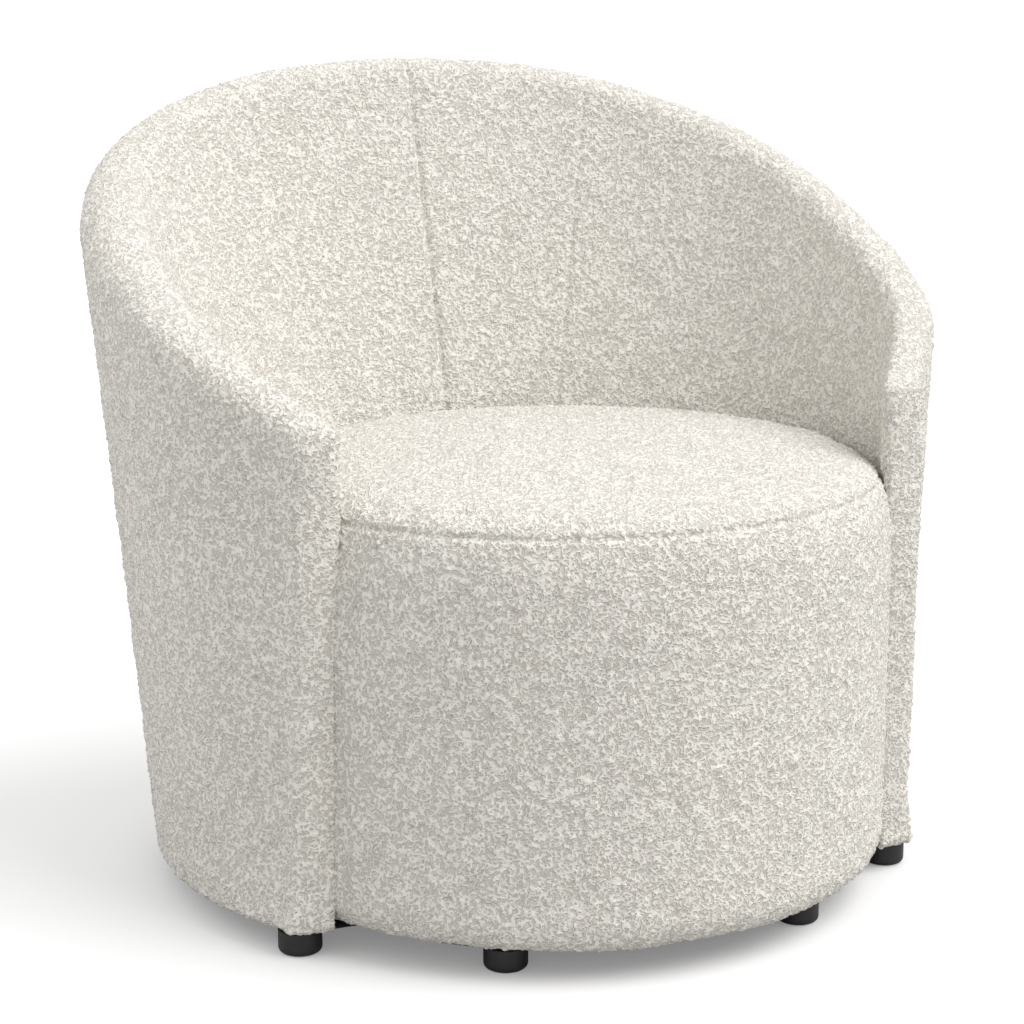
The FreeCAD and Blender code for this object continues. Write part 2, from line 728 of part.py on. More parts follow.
def webbing():
    """Straps laid across the upper hoop, the second set over the first."""
    half_x = DRUM_HALF_WIDTH - HOOP_OUTER_INSET - HOOP_WIDTH / 3
    half_y = DRUM_HALF_DEPTH - HOOP_OUTER_INSET - HOOP_WIDTH / 3
    level = SEAT_RAIL_LEVEL + HOOP_THICKNESS
    lengthwise = []
    crosswise = []
    for index in range(WEBBING_COUNT):
        offset = (index - (WEBBING_COUNT - 1) / 2) * WEBBING_PITCH
        edge = abs(offset) + WEBBING_WIDTH / 2
        reach_y = half_y * math.sqrt(1 - (edge / half_x) ** 2)
        reach_x = half_x * math.sqrt(1 - (edge / half_y) ** 2)
        strap = Part.makeBox(WEBBING_WIDTH, 2 * reach_y, WEBBING_THICKNESS)
        corner = (offset - WEBBING_WIDTH / 2, DRUM_MIDDLE_Y - reach_y, level)
        strap.translate(FreeCAD.Vector(*corner))
        lengthwise.append(strap)
        strap = Part.makeBox(2 * reach_x, WEBBING_WIDTH, WEBBING_THICKNESS)
        corner_y = DRUM_MIDDLE_Y + offset - WEBBING_WIDTH / 2
        corner = (-reach_x, corner_y, level + WEBBING_THICKNESS)
        strap.translate(FreeCAD.Vector(*corner))
        crosswise.append(strap)
    save(Part.makeCompound(lengthwise), "webbing_lengthwise")
    save(Part.makeCompound(crosswise), "webbing_crosswise")


# Bolts between the drum and the tub

def bolt_angles():
    """Angles round the drum from the back, each midway between two ribs."""
    angles = []
    for first, second in (("centre", "shoulder"), ("side", "arm")):
        turn = (RIB_TURNS[first] + RIB_TURNS[second]) / 2
        point = wall_point(turn, FRAME_INSET, SEAT_RAIL_LEVEL)
        angle = math.degrees(math.atan2(point.x, point.y - DRUM_MIDDLE_Y))
        angles += [-angle, angle]
    return angles


def bolt_frame(angle):
    """Where a bolt starts, at the upper hoop's inner edge, and its direction."""
    turn = math.radians(angle)
    direction = FreeCAD.Vector(math.sin(turn), math.cos(turn), 0)
    inset = HOOP_OUTER_INSET + HOOP_WIDTH
    half_x = DRUM_HALF_WIDTH - inset * DRUM_HALF_WIDTH / DRUM_HALF_DEPTH
    half_y = DRUM_HALF_DEPTH - inset
    reach = 1 / math.hypot(direction.x / half_x, direction.y / half_y)
    level = SEAT_RAIL_LEVEL + HOOP_THICKNESS / 2
    start = FreeCAD.Vector(0, DRUM_MIDDLE_Y, level) + direction * (reach - BOLT_HEAD_ROOM)
    return start, direction


def bolt_hole(angle):
    start, direction = bolt_frame(angle)
    back = start - direction * BOLT_HEAD_HEIGHT
    length = BOLT_HEAD_HEIGHT + BOLT_LENGTH + BOLT_END_ROOM
    return Part.makeCylinder(BOLT_HOLE / 2, length, back, direction)


def cross_dowel_middle(angle):
    start, direction = bolt_frame(angle)
    return start + direction * (BOLT_LENGTH - CROSS_DOWEL_END)


def cross_dowel_hole(angle):
    low = cross_dowel_middle(angle) - UP * HOOP_THICKNESS
    return Part.makeCylinder(CROSS_DOWEL_DIAMETER / 2 + GAP, 2 * HOOP_THICKNESS, low, UP)


def joining_hardware():
    """Bolts with pan heads, and the cross dowels that they screw into."""
    bolts = []
    dowels = []
    for angle in bolt_angles():
        start, direction = bolt_frame(angle)
        shank = Part.makeCylinder(BOLT_DIAMETER / 2, BOLT_LENGTH, start, direction)
        head_start = start - direction * BOLT_HEAD_HEIGHT
        head = Part.makeCylinder(
            BOLT_HEAD_DIAMETER / 2, BOLT_HEAD_HEIGHT, head_start, direction)
        bolts.append(shank.fuse(head).removeSplitter())
        length = HOOP_THICKNESS - 2 * GAP
        low = cross_dowel_middle(angle) - UP * (length / 2)
        dowel = Part.makeCylinder(CROSS_DOWEL_DIAMETER / 2, length, low, UP)
        bore = Part.makeCylinder(
            BOLT_DIAMETER / 2 + GAP / 2, BOLT_LENGTH + BOLT_END_ROOM, start, direction)
        dowels.append(dowel.cut(bore))
    save(Part.makeCompound(bolts), "joining_bolts")
    save(Part.makeCompound(dowels), "cross_dowels")


# Feet

def right_foot_places():
    """Feet under the arm's end, the front of the drum and the back of the tub."""
    arm = wall_point(ARM_FOOT_TURN, ARM_FOOT_INSET, HEM_LEVEL)
    back = wall_point(BACK_FOOT_TURN, BACK_FOOT_INSET, HEM_LEVEL)
    angle = math.radians(FRONT_FOOT_ANGLE)
    reach = 1 - FRONT_FOOT_INSET / DRUM_HALF_DEPTH
    front_x = DRUM_HALF_WIDTH * reach * math.sin(angle)
    front_y = DRUM_MIDDLE_Y + DRUM_HALF_DEPTH * reach * math.cos(angle)
    return {"arm": (arm.x, arm.y), "front": (front_x, front_y), "back": (back.x, back.y)}


def foot_places():
    places = []
    for x, y in right_foot_places().values():
        places += [(x, y), (-x, y)]
    return places


def tee_nut_room(x, y):
    """The hole for a tee nut's barrel, with a recess for its flange."""
    base = FreeCAD.Vector(x, y, BOARD_LEVEL)
    barrel = Part.makeCylinder(TEE_NUT_BARREL / 2 + GAP / 2, BOARD_THICKNESS, base, UP)
    recess_base = FreeCAD.Vector(x, y, flange_level())
    recess = Part.makeCylinder(TEE_NUT_FLANGE / 2 + GAP / 2, BOARD_THICKNESS, recess_base, UP)
    return barrel.fuse(recess)


def flange_level():
    return BOARD_TOP - TEE_NUT_FLANGE_THICKNESS - GAP


def foot(x, y):
    """A round glide with a rounded lower edge and a bore for its stud."""
    body = Part.makeCylinder(FOOT_DIAMETER / 2, FOOT_HEIGHT)
    lower = [edge for edge in body.Edges if edge.BoundBox.ZMax < GAP]
    body = body.makeFillet(FOOT_EDGE_RADIUS, lower)
    bore_base = FreeCAD.Vector(0, 0, STUD_SEAT)
    body = body.cut(Part.makeCylinder(FOOT_BORE / 2, FOOT_HEIGHT, bore_base, UP))
    body.translate(FreeCAD.Vector(x, y, 0))
    return body


def feet():
    for place, (x, y) in right_foot_places().items():
        save(foot(x, y), "foot_" + place + "_right")
        save(foot(-x, y), "foot_" + place + "_left")
    studs = []
    nuts = []
    for x, y in foot_places():
        base = FreeCAD.Vector(x, y, STUD_SEAT)
        top = BOARD_TOP - STUD_BELOW_BOARD_TOP
        studs.append(Part.makeCylinder(STUD_DIAMETER / 2, top - STUD_SEAT, base, UP))
        low = FreeCAD.Vector(x, y, BOARD_LEVEL + GAP)
        high = FreeCAD.Vector(x, y, flange_level())
        barrel = Part.makeCylinder(TEE_NUT_BARREL / 2, flange_level() - low.z, low, UP)
        flange = Part.makeCylinder(TEE_NUT_FLANGE / 2, TEE_NUT_FLANGE_THICKNESS, high, UP)
        bore = Part.makeCylinder(
            STUD_DIAMETER / 2 + GAP / 2, BOARD_TOP, FreeCAD.Vector(x, y, 0), UP)
        nuts.append(barrel.fuse(flange).removeSplitter().cut(bore))
    save(Part.makeCompound(studs), "foot_studs")
    save(Part.makeCompound(nuts), "foot_tee_nuts")


def dust_cover():
    """Thin black cloth tacked under both boards."""
    sheet = wall_plate(FOOT_HEIGHT, DUST_COVER, HEM_FOLD)
    drum = drum_prism(-BOARD_INSET, FOOT_HEIGHT, FOOT_HEIGHT + DUST_COVER)
    sheet = sheet.fuse(drum).removeSplitter()
    for x, y in foot_places():
        base = FreeCAD.Vector(x, y, 0)
        sheet = sheet.cut(Part.makeCylinder(FOOT_BORE / 2, 2 * HEM_LEVEL, base, UP))
    save(sheet, "dust_cover")


os.makedirs("parts", exist_ok=True)
feet()
dust_cover()
drum_frame()
webbing()
drum_covers()
seat_cushion()
joining_hardware()
tub_board()
core = frame_core()
ribs(core)
seat_rail_blocks(core)
top_rail()
inner_lining()
inside_pads()
inside_covers()
outside_layers()
arm_facings()
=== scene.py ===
# %% [markdown]
# # A tub chair in looped cream cloth
#
# The chair is already built as solids: a timber frame, boards, webbing, foam and covers.
# This lesson loads those solids as a fixed frame and then makes what the eye meets: the
# soft, nubbly upholstery, the black glides and the light of a small studio.

# %% Load the frame
import math

import bpy
import numpy as np
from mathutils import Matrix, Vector


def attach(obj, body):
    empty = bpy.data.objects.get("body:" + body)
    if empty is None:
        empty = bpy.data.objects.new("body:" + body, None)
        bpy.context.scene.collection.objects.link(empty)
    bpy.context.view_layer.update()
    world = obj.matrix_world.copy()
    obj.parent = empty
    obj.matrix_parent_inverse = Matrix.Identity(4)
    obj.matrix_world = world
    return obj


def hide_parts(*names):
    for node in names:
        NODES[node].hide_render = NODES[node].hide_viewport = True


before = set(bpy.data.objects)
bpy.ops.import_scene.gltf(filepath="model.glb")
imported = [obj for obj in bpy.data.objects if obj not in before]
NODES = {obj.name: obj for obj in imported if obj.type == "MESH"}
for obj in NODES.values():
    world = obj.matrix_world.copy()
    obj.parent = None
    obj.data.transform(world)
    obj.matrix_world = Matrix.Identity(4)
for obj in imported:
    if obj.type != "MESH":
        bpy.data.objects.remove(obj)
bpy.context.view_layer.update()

# %% [markdown]
# ## The camera
#
# The photograph was taken from the front left of the chair, a little above its back, with
# a long lens. A long lens keeps the upright lines of the drum nearly parallel, so the
# camera stands well back rather than close with a wide lens.

# %% Camera
CAMERA_PLACE = (-0.9491, -2.2193, 0.8605)
CAMERA_TURN = 22.82
CAMERA_DIP = 12.36
LENS = 90.5
SENSOR_WIDTH = 36

bpy.ops.object.camera_add(
    location=CAMERA_PLACE,
    rotation=(math.radians(90 - CAMERA_DIP), 0, math.radians(-CAMERA_TURN)))
camera = bpy.context.object
camera.name = "camera"
camera.data.lens = LENS
camera.data.sensor_width = SENSOR_WIDTH
bpy.context.scene.camera = camera
print("lens", LENS, "mm at", round(Vector(CAMERA_PLACE).length, 2), "m")

# %% [markdown]
# ## Handling meshes
#
# Every soft piece starts as a copy of the solids that it stands for. The copies are loose
# triangles, so they are merged first. The helpers below do one thing each, always on one
# active object, because Blender's operators act on whatever is selected.

# %% Helpers for meshes
MERGE_WITHIN = 1e-5


def select_only(piece):
    if bpy.context.object and bpy.context.object.mode != "OBJECT":
        bpy.ops.object.mode_set(mode="OBJECT")
    bpy.ops.object.select_all(action="DESELECT")
    piece.select_set(True)
    bpy.context.view_layer.objects.active = piece


def modify(piece, kind, **settings):
    """Add a modifier, set it up and apply it."""
    select_only(piece)
    modifier = piece.modifiers.new(kind.lower(), kind)
    for name, value in settings.items():
        setattr(modifier, name, value)
    bpy.ops.object.modifier_apply(modifier=modifier.name)


def merged_copy(name, nodes):
    """One new mesh from copies of CAD nodes, with their loose triangles merged."""
    copies = []
    for node in nodes:
        copy = bpy.data.objects.new(node + "_copy", NODES[node].data.copy())
        bpy.context.scene.collection.objects.link(copy)
        copy.data.materials.clear()
        copies.append(copy)
    select_only(copies[0])
    for copy in copies:
        copy.select_set(True)
    bpy.ops.object.join()
    piece = bpy.context.object
    piece.name = name
    piece.data.name = name
    bpy.ops.object.mode_set(mode="EDIT")
    bpy.ops.mesh.select_all(action="SELECT")
    bpy.ops.mesh.remove_doubles(threshold=MERGE_WITHIN)
    bpy.ops.object.mode_set(mode="OBJECT")
    return piece


def points_of(piece):
    points = np.empty(len(piece.data.vertices) * 3)
    piece.data.vertices.foreach_get("co", points)
    return points.reshape(-1, 3)


def normals_of(piece):
    normals = np.empty(len(piece.data.vertices) * 3)
    piece.data.vertices.foreach_get("normal", normals)
    return normals.reshape(-1, 3)


def move_points(piece, points):
    piece.data.vertices.foreach_set("co", points.ravel())
    piece.data.update()


print("helpers ready")

# %% [markdown]
# ## Padding
#
# Real upholstery is cloth pulled over foam. The foam pushes back, so flat places crown a
# little and hard corners go soft. Every copy is remeshed to an even grid and smoothed. The
# seat and the drum are also filled with a little air pressure as cloth, and held so that
# no point moves further than the foam would let it. Then the faces that show are divided
# once more, so that the loops of the cloth can be raised on them.

# %% Helpers for padding
VOXEL = 0.0044
PADDING_VOXEL = 0.006
SIM_FRAMES = 12
SIM_QUALITY = 3
FACE_SMOOTHING = 2
SEAM_WIDTH = 0.0024


def remesh(piece, size):
    modify(piece, "REMESH", mode="VOXEL", voxel_size=size)


def smooth(piece, rounds, group=""):
    modify(piece, "SMOOTH", factor=0.5, iterations=rounds, vertex_group=group)


def swell(piece, pressure, most):
    """Fill the piece with air as cloth, and let no point move further than most."""
    print(piece.name, "has", len(piece.data.vertices), "points before it is filled")
    start = points_of(piece)
    select_only(piece)
    cloth = piece.modifiers.new("cloth", "CLOTH")
    cloth.settings.use_pressure = True
    cloth.settings.uniform_pressure_force = pressure
    cloth.settings.effector_weights.gravity = 0
    cloth.settings.quality = SIM_QUALITY
    cloth.collision_settings.use_collision = False
    cloth.point_cache.frame_start = 1
    cloth.point_cache.frame_end = SIM_FRAMES
    for number in range(1, SIM_FRAMES + 1):
        bpy.context.scene.frame_set(number)
    bpy.ops.object.modifier_apply(modifier=cloth.name)
    bpy.context.scene.frame_set(1)
    moves = points_of(piece) - start
    length = np.linalg.norm(moves, axis=1, keepdims=True)
    moves *= np.minimum(1, most / np.maximum(length, 1e-9))
    move_points(piece, start + moves)
    print(piece.name, "swelled by up to", round(float(length.max()) * 1000, 1), "mm")


def ease(values, start, end):
    """0 before start and 1 past end, with a smooth rise between."""
    share = np.clip((values - start) / (end - start), 0, 1)
    return share * share * (3 - 2 * share)


def press_seam(piece, distance, where, depth):
    """Press a groove into the piece, along the points where distance is nought."""
    at = points_of(piece)
    out = normals_of(piece)
    pull = depth * np.exp(-(distance(at) / SEAM_WIDTH) ** 2) * where(at, out)
    move_points(piece, at - out * pull[:, None])


def divide_where(piece, shows):
    """Divide the faces whose points all show, and keep those points in a group."""
    select_only(piece)
    mask = shows(points_of(piece), normals_of(piece))
    mesh = piece.data
    loops = np.empty(len(mesh.loops), dtype=np.int32)
    mesh.loops.foreach_get("vertex_index", loops)
    starts = np.empty(len(mesh.polygons), dtype=np.int32)
    mesh.polygons.foreach_get("loop_start", starts)
    chosen = np.logical_and.reduceat(mask[loops], starts)
    bpy.ops.object.mode_set(mode="EDIT")
    bpy.ops.mesh.select_mode(type="FACE")
    bpy.ops.mesh.select_all(action="DESELECT")
    bpy.ops.object.mode_set(mode="OBJECT")
    mesh.polygons.foreach_set("select", chosen)
    bpy.ops.object.mode_set(mode="EDIT")
    bpy.ops.mesh.subdivide(number_cuts=1, smoothness=0)
    bpy.ops.object.mode_set(mode="OBJECT")
    group = piece.vertex_groups.new(name="face")
    mask = shows(points_of(piece), normals_of(piece))
    group.add([int(i) for i in np.nonzero(mask)[0]], 1.0, "REPLACE")
    smooth(piece, FACE_SMOOTHING, "face")
    print(piece.name, "has", len(piece.data.polygons), "faces")


# %% [markdown]
# ## The loops of the cloth
#
# Looped cloth is a carpet of small curls. From a step away they read as puffy nubs a few
# millimetres across with dark clefts between them. The largest are real shape here: hard
# noise has sharp valleys and round hills, just like the nubs. The finer curls come later,
# in the cloth's material.

# %% Raise the nubs
NUB_SIZE = 0.0046
NUB_HEIGHT = 0.0027
NUB_LEVEL = 0.75
LUMP_SIZE = 0.030
LUMP_HEIGHT = 0.0022
LUMP_LEVEL = 0.5


def noise_texture(name, size, depth, hard):
    texture = bpy.data.textures.new(name, "CLOUDS")
    texture.noise_scale = size
    texture.noise_depth = depth
    texture.noise_type = "HARD_NOISE" if hard else "SOFT_NOISE"
    return texture


nub_texture = noise_texture("nubs", NUB_SIZE, 0, True)
lump_texture = noise_texture("lumps", LUMP_SIZE, 1, False)


def raise_nubs(piece):
    modify(piece, "DISPLACE", texture=lump_texture, texture_coords="LOCAL",
           strength=LUMP_HEIGHT, mid_level=LUMP_LEVEL, vertex_group="face")
    modify(piece, "DISPLACE", texture=nub_texture, texture_coords="LOCAL",
           strength=NUB_HEIGHT, mid_level=NUB_LEVEL, vertex_group="face")


print("nubs", NUB_SIZE, "lumps", LUMP_SIZE)

# %% [markdown]
# ## Shader maths
#
# A shader is a graph, but it reads best as sums. The small class below wraps a socket so
# that ordinary Python operators add the Math nodes.

# %% Shader helpers
class Socket:
    """A number in the shader graph, which + - * build on."""

    def __init__(self, shader, socket):
        self.shader = shader
        self.socket = socket

    def _math(self, operation, *values):
        node = self.shader.add("ShaderNodeMath", {"operation": operation}, list(values))
        return Socket(self.shader, node.outputs[0])

    def __add__(self, other):
        return self._math("ADD", self, other)

    def __mul__(self, other):
        return self._math("MULTIPLY", self, other)

    def __sub__(self, other):
        return self._math("SUBTRACT", self, other)

    def __rsub__(self, other):
        return self._math("SUBTRACT", other, self)

    def at_most(self, other):
        return self._math("MINIMUM", self, other)

    def at_least(self, other):
        return self._math("MAXIMUM", self, other)


class Shader:
    """A material whose graph is built by expressions."""

    def __init__(self, name):
        self.material = bpy.data.materials.new(name)
        self.material.use_nodes = True
        self.tree = self.material.node_tree
        self.surface = self.tree.nodes["Principled BSDF"]
        self.coords = self.tree.nodes.new("ShaderNodeTexCoord").outputs["Object"]

    def add(self, kind, settings=None, inputs=()):
        node = self.tree.nodes.new(kind)
        for name, value in (settings or {}).items():
            setattr(node, name, value)
        pairs = inputs.items() if isinstance(inputs, dict) else enumerate(inputs)
        for key, value in pairs:
            self.plug(node.inputs[key], value)
        return node

    def plug(self, target, value):
        if isinstance(value, Socket):
            value = value.socket
        if isinstance(value, bpy.types.NodeSocket):
            self.tree.links.new(value, target)
        else:
            target.default_value = value

    def noise(self, scale, detail=2.0, rough=0.5, at=None):
        node = self.add("ShaderNodeTexNoise", {}, {
            "Vector": at or self.coords, "Scale": scale, "Detail": detail,
            "Roughness": rough})
        return Socket(self, node.outputs["Fac"])

    def waves(self, axis, scale):
        """Even bands across one axis, from 0 to 1."""
        node = self.add("ShaderNodeTexWave", {"bands_direction": axis}, {
            "Vector": self.coords, "Scale": scale})
        return Socket(self, node.outputs["Fac"])

    def stretched(self, factors):
        """Object coordinates scaled by axis, which draws a pattern out."""
        node = self.add("ShaderNodeVectorMath", {"operation": "MULTIPLY"}, [
            self.coords, factors])
        return node.outputs[0]

    def shifted(self, scale, reach):
        """Object coordinates pushed about by noise, so that a pattern curls."""
        cloud = self.add("ShaderNodeTexNoise", {}, {
            "Vector": self.coords, "Scale": scale, "Detail": 1.0})
        centred = self.add("ShaderNodeVectorMath", {"operation": "SUBTRACT"}, [
            cloud.outputs["Color"], (0.5, 0.5, 0.5)])
        push = self.add("ShaderNodeVectorMath", {"operation": "SCALE"}, {
            0: centred.outputs[0], "Scale": reach})
        total = self.add("ShaderNodeVectorMath", {"operation": "ADD"}, [
            self.coords, push.outputs[0]])
        return total.outputs[0]

    def blend(self, factor, first, second):
        node = self.add("ShaderNodeMix", {"data_type": "RGBA"})
        self.plug(node.inputs["Factor"], factor)
        self.plug(node.inputs["A"], (*first, 1) if isinstance(first, tuple) else first)
        self.plug(node.inputs["B"], (*second, 1) if isinstance(second, tuple) else second)
        return node.outputs["Result"]

    def bump(self, height, distance, strength):
        node = self.add("ShaderNodeBump", {}, {
            "Height": height, "Distance": distance, "Strength": strength})
        self.plug(self.surface.inputs["Normal"], node.outputs[0])

    def finish(self, color, **sockets):
        self.plug(self.surface.inputs["Base Color"], color)
        for name, value in sockets.items():
            self.plug(self.surface.inputs[name.replace("_", " ")], value)
        return self.material


print("shader helpers ready")

# %% [markdown]
# ## The looped cloth
#
# The cloth is undyed cream. The curls are the level lines
# of a noise that is itself pushed about, which gives short worms in every direction. They
# stand bright above a ground that is painted darker and warmer, as shade in the clefts.

# %% Cloth material
CLOTH_LIGHT = (0.81, 0.785, 0.735)
# Painted shade for the clefts between the curls.
CLOTH_CLEFT_SHADE = (0.55, 0.515, 0.455)
WARMER = (1, 0.99, 0.97)


def looped_cloth(name):
    cloth = Shader(name)
    curled = cloth.shifted(190.0, 0.0045)
    line = (cloth.noise(260.0, 0.5, 0.4, curled) - 0.5) * 6.5
    worms = (1 - line * line).at_least(0.0)
    tufts = cloth.noise(210.0, 2.0, 0.6, curled)
    height = worms * 0.65 + tufts * 0.6
    shade = (height * 1.5 - 0.2).at_least(0.0).at_most(1.0)
    drift = cloth.noise(9.0, 2.0)
    warm_light = tuple(part * factor for part, factor in zip(CLOTH_LIGHT, WARMER))
    yarn = cloth.blend(drift, CLOTH_LIGHT, warm_light)
    # Painted shade: the low ground between the curls is coloured darker than the yarn.
    color = cloth.blend(shade, CLOTH_CLEFT_SHADE, yarn)
    cloth.bump(height, 0.0022, 0.85)
    return cloth.finish(color, Roughness=0.95, Sheen_Weight=0.15, Sheen_Roughness=0.5,
                        Specular_IOR_Level=0.2)


boucle = looped_cloth("cream_boucle")
print("cloth material:", len(boucle.node_tree.nodes), "nodes")


def dress(piece, material, slot, *nodes):
    """Give the piece its material, its body and smooth shading, and hide the nodes it
    stands for; slot is not used.
    """
    piece.data.materials.clear()
    piece.data.materials.append(material)
    select_only(piece)
    bpy.ops.object.shade_smooth()
    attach(piece, "root")
    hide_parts(*nodes)


# %% [markdown]
# ## Cutting one skin into pieces
#
# Pieces that are sewn to each other are padded as one skin, and cut apart at the seam
# last. So the loops run up to the seam from both sides, and it shows only as a fine line.

# %% Cut at a plane
def part_beyond(piece, name, place, direction):
    """A copy of the piece with only what lies beyond a plane, closed at the cut."""
    copy = bpy.data.objects.new(name, piece.data.copy())
    copy.data.name = name
    bpy.context.scene.collection.objects.link(copy)
    select_only(copy)
    bpy.ops.object.mode_set(mode="EDIT")
    bpy.ops.mesh.select_all(action="SELECT")
    bpy.ops.mesh.bisect(plane_co=place, plane_no=direction, use_fill=True, clear_inner=True)
    bpy.ops.mesh.mark_sharp()
    bpy.ops.object.mode_set(mode="OBJECT")
    return copy


def both_sides(piece, first, second, place, direction):
    """Cut the piece in two at a plane, and drop the whole one."""
    away = tuple(-part for part in direction)
    parts = (part_beyond(piece, first, place, direction),
             part_beyond(piece, second, place, away))
    bpy.data.objects.remove(piece)
    return parts


# %% [markdown]
# ## The seat and the drum's band
#
# The seat is a round cushion with a low crown, sewn to an upright band that goes round
# the drum. The drum's back is hidden by the tub, so only the seat and the drum's front are
# divided finely, and only at the front does the padding stand out a little from the
# boards.

# %% Seat and drum
SEAT_SEAM = 0.387
DRUM_MIDDLE = np.array([0.0, -0.0858])
DRUM_HALF = np.array([0.302, 0.286])
DRUM_PRESSURE = 4.0
DRUM_SWELL = 0.003
DRUM_SMOOTHING = 4
PUFF = 0.005
PUFF_FORWARD = (0.11, 0.24)
PUFF_REACH = (0.5, 0.95)
FRONT_LINE = -0.10
BAND_REACH = 0.86
SEAT_SEAM_REACH = 0.9
SEAT_SEAM_ROOM = 0.006
SEAT_SEAM_DEPTH = 0.0023


def drum_reach(at):
    """How far out a point lies on the drum's plan, as a share of its edge."""
    return np.linalg.norm((at[:, :2] - DRUM_MIDDLE) / DRUM_HALF, axis=1)


def drum_shows(at, out):
    reach = drum_reach(at)
    front = (at[:, 1] < FRONT_LINE) & (reach > BAND_REACH)
    return (at[:, 2] > SEAT_SEAM - SEAT_SEAM_ROOM) | front


def at_seat_edge(at, out):
    return drum_reach(at) > SEAT_SEAM_REACH


def puffed(at):
    """The points with the front of the drum pushed out from its middle."""
    share = ease(-at[:, 1], *PUFF_FORWARD) * ease(drum_reach(at), *PUFF_REACH)
    away = (at[:, :2] - DRUM_MIDDLE) / DRUM_HALF
    away /= np.maximum(np.linalg.norm(away, axis=1, keepdims=True), 1e-6)
    at[:, :2] += away * (share * PUFF)[:, None]
    return at


drum = merged_copy("drum", ["seat_cover", "seat_foam", "drum_band_cover", "drum_pad"])
remesh(drum, PADDING_VOXEL)
swell(drum, DRUM_PRESSURE, DRUM_SWELL)
remesh(drum, VOXEL)
smooth(drum, DRUM_SMOOTHING)
move_points(drum, puffed(points_of(drum)))
divide_where(drum, drum_shows)
raise_nubs(drum)
press_seam(drum, lambda at: at[:, 2] - SEAT_SEAM, at_seat_edge, SEAT_SEAM_DEPTH)
seat, band = both_sides(drum, "seat_top", "drum_band", (0, 0, SEAT_SEAM), (0, 0, 1))
dress(seat, boucle, "boucle_seat", "seat_cover", "seat_foam")
dress(band, boucle, "boucle_drum", "drum_band_cover", "drum_pad")

# %% [markdown]
# ## The tub and its arm fronts
#
# The tub's cloth runs down the inside, over the roll of the rim and down the outside, and
# a panel closes each arm's end. The photograph shows soft corners and no seam on the roll,
# so all the layers are remeshed as one skin. The arm ends are smoothed most and lean in a
# little. Then the seams that do show are pressed in: one down the middle of the back, one
# each side of it on the inside, and one across the top of each arm front.
#
# The outline's numbers come in pairs: the first holds at the hem, and the second is what
# is added up to the arms' top.

# %% Tub
TUB_LAYERS = ("inside_back_cover", "inside_arm_cover", "back_foam", "arm_foam",
              "outside_cover", "outside_wadding", "outside_lining", "tack_strip",
              "arm_facing_cover", "arm_facing_pad", "arm_facing_board")
SIDE_SEAM_PLACE = np.array([0.2075, 0.3216, 0.504])
SIDE_SEAM_NORMAL = np.array([0.8314, -0.5551, -0.0237])
ARM_END_PLACE = np.array([0.3132, -0.2090, 0.504])
ARM_END_NORMAL = np.array([0.1218, -0.9923, -0.0221])
ARM_SEAM_LEVEL = 0.471
ARM_LEAN = 0.006
LEAN_RANGE = (-0.12, 0.0)
HEM_RANGE = (0.024, 0.070)
TUB_SMOOTHING = 5
ARM_SMOOTHING = 28
SOFT_RANGE = (-0.05, -0.025)
BACK_SEAM_DEPTH = 0.0036
OUTSIDE_SEAM_DEPTH = 0.0016
SIDE_SEAM_DEPTH = 0.0018
ARM_SEAM_DEPTH = 0.0022

TUB_MIDDLE = np.array([0.0, -0.02])
OUTLINE_FOOT = 0.022
OUTLINE_HEIGHT = 0.482
OUTLINE_WIDE = (0.366, 0.032)
OUTLINE_DEEP = (0.346, -0.014)
OUTLINE_MIDDLE = (-0.0188, 0.045)
OUTLINE_POWER = (2.04, 0.25)

# Which points show: where they lie in the outline, which way they face and how high.
OUTSIDE_FROM = 0.982
OUTSIDE_FACING = -0.2
INSIDE_TO = 0.95
INSIDE_FACING = 0.1
INSIDE_ABOVE = 0.37
TOP_SLOPE = 0.25
HEM_BELOW = 0.026
HEM_SLOPE = -0.2
ARM_END_FROM = 0.008
ARM_SEAM_FROM = 0.006
BACK_FACING = 0.3
BACK_BEHIND = -0.1


def facing(at, out):
    """1 where the skin faces away from the tub's middle, -1 where it faces it."""
    away = at[:, :2] - TUB_MIDDLE
    away /= np.linalg.norm(away, axis=1, keepdims=True)
    return (away * out[:, :2]).sum(axis=1)


def grown(pair, share):
    return pair[0] + pair[1] * share


def tub_outline(at):
    """1 on the tub's outer face, and less towards the inside."""
    share = (at[:, 2] - OUTLINE_FOOT) / OUTLINE_HEIGHT
    wide = np.abs(at[:, 0]) / grown(OUTLINE_WIDE, share)
    deep = np.abs(at[:, 1] - grown(OUTLINE_MIDDLE, share)) / grown(OUTLINE_DEEP, share)
    power = grown(OUTLINE_POWER, np.clip(share, 0, 1))
    return (wide ** power + deep ** power) ** (1 / power)


def from_plane(at, place, normal):
    """How far points lie beyond a plane of the right side, or its mirror on the left."""
    folded = np.column_stack([np.abs(at[:, 0]), at[:, 1], at[:, 2]])
    return (folded - place) @ normal


def at_arm_end(at):
    return from_plane(at, ARM_END_PLACE, ARM_END_NORMAL)


def tub_shows(at, out):
    outline = tub_outline(at)
    turned = facing(at, out)
    outside = (outline > OUTSIDE_FROM) & (turned > OUTSIDE_FACING)
    inside = (outline < INSIDE_TO) & (turned < INSIDE_FACING) & (at[:, 2] > INSIDE_ABOVE)
    top = out[:, 2] > TOP_SLOPE
    hem = (at[:, 2] < HEM_BELOW) & (out[:, 2] < HEM_SLOPE)
    arm_end = at_arm_end(at) > ARM_END_FROM
    return outside | inside | top | hem | arm_end


def soften_arm_ends(piece):
    """Smooth the arm ends again, less and less towards the arms and the hem."""
    group = piece.vertex_groups.new(name="soft_ends")
    at = points_of(piece)
    softness = ease(at_arm_end(at), *SOFT_RANGE) * ease(at[:, 2], *HEM_RANGE)
    for index in np.nonzero(softness > 0)[0]:
        group.add([int(index)], float(softness[index]), "REPLACE")
    smooth(piece, ARM_SMOOTHING, "soft_ends")


